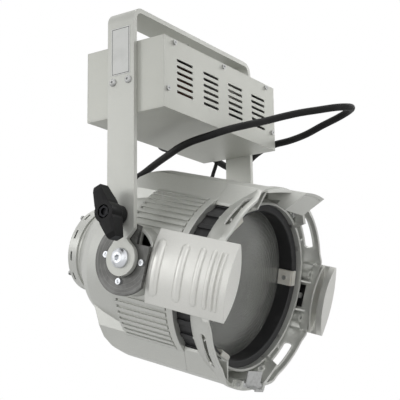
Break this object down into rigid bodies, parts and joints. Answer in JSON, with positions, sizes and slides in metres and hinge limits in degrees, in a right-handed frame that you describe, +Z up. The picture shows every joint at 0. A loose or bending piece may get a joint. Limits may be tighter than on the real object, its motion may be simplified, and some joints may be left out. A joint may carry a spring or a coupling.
{
  "type": "par can",
  "caption": "Stage par can: ribbed cast head tilting in a flat-bar yoke that carries a ballast box, with a turning lens ring, tilt lock knob, rear knob and frame latch.",
  "frame": {"origin": "centre of the hanging hole in the yoke's top outer face", "axes": "+Z up through the hanging hole; +X along the tilt axis, away from the lock knob; the lamp faces -Y and tips down 16 degrees at rest"},
  "size_m": [0.3381, 0.3705, 0.459],
  "materials": {
    "silver_paint": "satin",
    "box_paint": "satin",
    "zinc": "satin",
    "black_paint": "satin",
    "black_plastic": "matte",
    "lead_rubber": "matte",
    "earth_pvc": "matte",
    "lens_glass": "stippled",
    "bulb_glass": "clear",
    "reflector_alu": "polished",
    "white_plastic": "matte",
    "ceramic": "satin",
    "grey_plastic": "matte",
    "core_steel": "matte",
    "copper_wire": "satin",
    "label_white": "matte"
  },
  "bodies": {
    "frame": {"yoke": "silver_paint", "blank_plate": "label_white", "box_chassis": "box_paint", "box_cover": "box_paint", "cover_screws": "zinc", "box_screws": "zinc", "box_nuts": "zinc", "ballast_core": "core_steel", "ballast_winding": "copper_wire", "ignitor": "white_plastic", "capacitor": "grey_plastic", "capacitor_clip": "zinc", "terminal_block": "white_plastic", "terminal_screws": "zinc", "component_bolts": "zinc", "component_nuts": "zinc", "mains_inlet": "black_plastic", "inlet_pins": "zinc", "lead_gland": "black_plastic", "lead_gland_nut": "black_plastic", "earth_grommet": "black_plastic", "lamp_lead": "lead_rubber", "earth_lead": "earth_pvc", "brake_shoe": "zinc"},
    "head": {"pivot_bolts": "zinc", "pivot_washers": "zinc", "pivot_nuts": "zinc", "pivot_discs": "zinc", "disc_screws": "zinc", "housing": "silver_paint", "front_ring": "silver_paint", "ring_screws": "zinc", "side_cover_left": "silver_paint", "side_cover_right": "silver_paint", "cover_brackets": "black_paint", "bracket_screws": "zinc", "latch_pin": "zinc", "reflector": "reflector_alu", "reflector_screws": "zinc", "lampholder": "ceramic", "holder_plate": "zinc", "holder_posts": "zinc", "lamp_base": "ceramic", "lamp_bulb": "bulb_glass", "lamp_burner": "ceramic", "lamp_pins": "zinc", "rear_cap": "silver_paint", "cap_screws": "zinc", "head_glands": "black_plastic"},
    "lock_knob": {"lock_knob": "black_plastic", "lock_stud": "zinc", "lock_nut": "zinc"},
    "lens_group": {"lens_ring": "black_paint", "lens": "lens_glass", "lens_spring": "zinc", "lens_clips": "white_plastic", "clip_screws": "zinc"},
    "latch": {"frame_latch": "zinc"},
    "rear_knob": {"rear_knob": "black_plastic", "rear_stud": "zinc"}
  },
  "joints": [
    {"name": "head_tilt", "type": "hinge", "parent": "frame", "child": "head", "pos_m": [0, 0, -0.306], "axis": [1, 0, 0], "range_deg": [-34, 22], "deforming": ["lamp_lead", "earth_lead"]},
    {"name": "tilt_lock_turn", "type": "hinge", "parent": "frame", "child": "lock_knob", "pos_m": [-0.15, 0, -0.256], "axis": [-1, 0, 0], "range_deg": [-270, 90]},
    {"name": "lens_ring_turn", "type": "hinge", "parent": "head", "child": "lens_group", "pos_m": [0, -0.0721, -0.32667], "axis": [0, -0.9613, -0.2756], "continuous": true},
    {"name": "frame_latch_swing", "type": "hinge", "parent": "head", "child": "latch", "pos_m": [0, -0.0897, -0.45031], "axis": [1, 0, 0], "range_deg": [0, 80]},
    {"name": "rear_knob_turn", "type": "hinge", "parent": "head", "child": "rear_knob", "pos_m": [0, 0.15861, -0.26052], "axis": [0, 0.9613, 0.2756], "range_deg": [-180, 180]}
  ]
}
